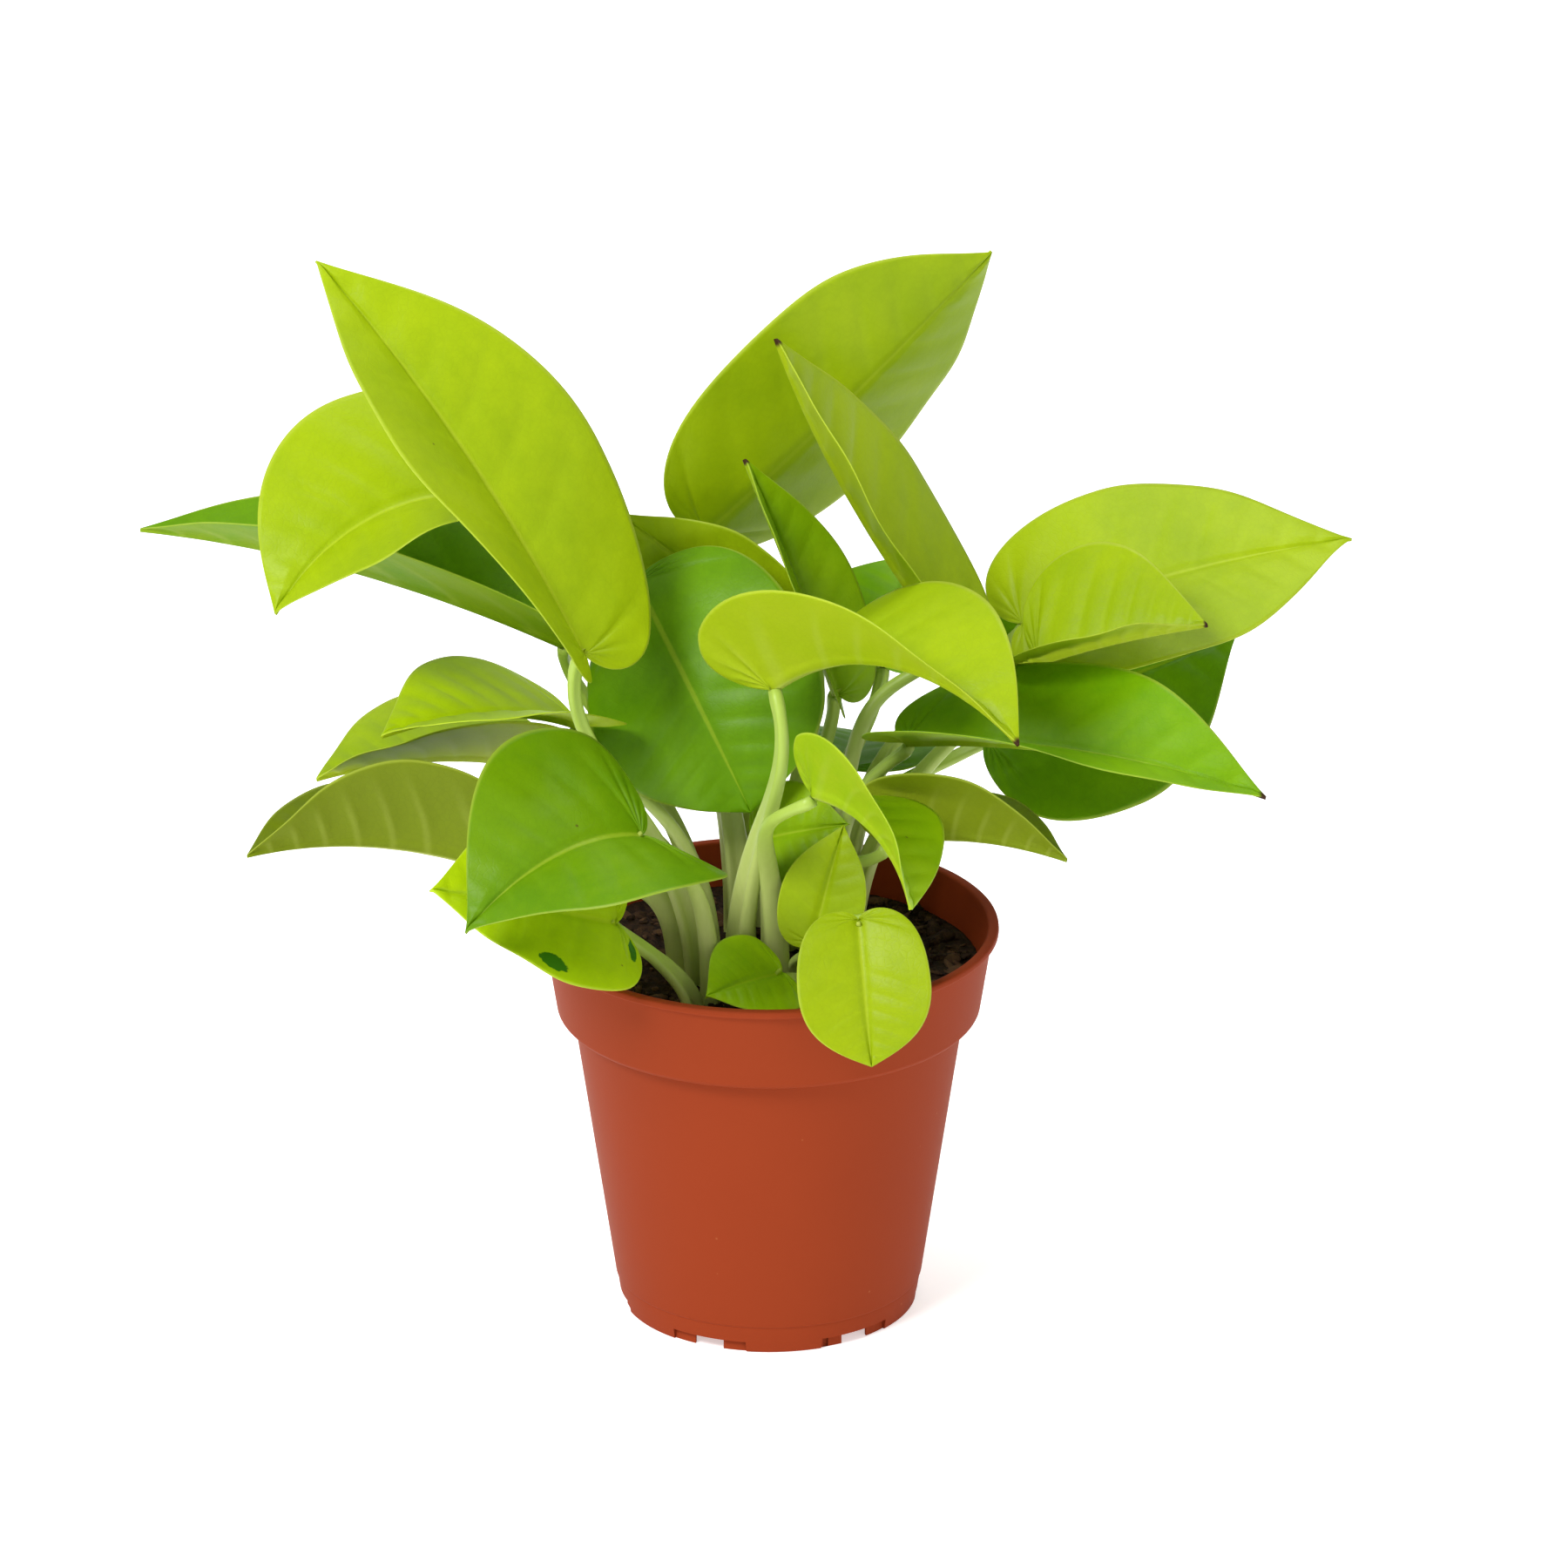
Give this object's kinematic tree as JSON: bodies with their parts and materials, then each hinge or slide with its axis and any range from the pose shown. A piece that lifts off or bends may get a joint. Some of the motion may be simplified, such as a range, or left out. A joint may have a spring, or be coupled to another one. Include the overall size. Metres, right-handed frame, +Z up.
{
  "type": "potted pothos plant",
  "caption": "Bushy neon pothos with glossy heart-shaped leaves on long stems, rooted in soil in a round tapered nursery pot with a stepped collar.",
  "frame": {"origin": "middle of the pot's underside, where it stands on a surface", "axes": "+Z up along the pot's axis; -Y is the front, the side the leaves face; +X is to the right seen from the front"},
  "size_m": [0.278, 0.147, 0.246],
  "materials": {
    "pot": "satin",
    "soil": "matte",
    "stem": "satin",
    "leaf_lime": "satin",
    "leaf_olive": "satin",
    "leaf_fresh": "satin",
    "leaf_mid": "satin",
    "leaf_dark": "satin"
  },
  "bodies": {
    "root": {"pot": "pot", "soil": "soil", "leaf_crest": "leaf_lime", "stem_crest": "stem", "leaf_tall_left": "leaf_lime", "stem_tall_left": "stem", "leaf_tall_right": "leaf_lime", "stem_tall_right": "stem", "leaf_centre_up": "leaf_fresh", "stem_centre_up": "stem", "leaf_left_round": "leaf_lime", "stem_left_round": "stem", "leaf_left_long": "leaf_dark", "stem_left_long": "stem", "leaf_left_bright": "leaf_lime", "stem_left_bright": "stem", "leaf_left_under": "leaf_lime", "stem_left_under": "stem", "leaf_left_low": "leaf_olive", "stem_left_low": "stem", "leaf_front_left": "leaf_mid", "stem_front_left": "stem", "leaf_front_rim": "leaf_lime", "stem_front_rim": "stem", "leaf_front_hang": "leaf_lime", "stem_front_hang": "stem", "leaf_front_small": "leaf_fresh", "stem_front_small": "stem", "leaf_front_right": "leaf_fresh", "stem_front_right": "stem", "leaf_middle_round": "leaf_fresh", "stem_middle_round": "stem", "leaf_middle_up": "leaf_lime", "stem_middle_up": "stem", "leaf_middle_dark": "leaf_dark", "stem_middle_dark": "stem", "leaf_behind_pale": "leaf_lime", "stem_behind_pale": "stem", "leaf_right_bright": "leaf_lime", "stem_right_bright": "stem", "leaf_right_far": "leaf_lime", "stem_right_far": "stem", "leaf_right_upper": "leaf_lime", "stem_right_upper": "stem", "leaf_right_dark": "leaf_dark", "stem_right_dark": "stem", "leaf_right_mid": "leaf_mid", "stem_right_mid": "stem", "leaf_right_low": "leaf_olive", "stem_right_low": "stem", "leaf_back_right": "leaf_mid", "stem_back_right": "stem", "leaf_back_dark": "leaf_dark", "stem_back_dark": "stem"}
  },
  "joints": []
}
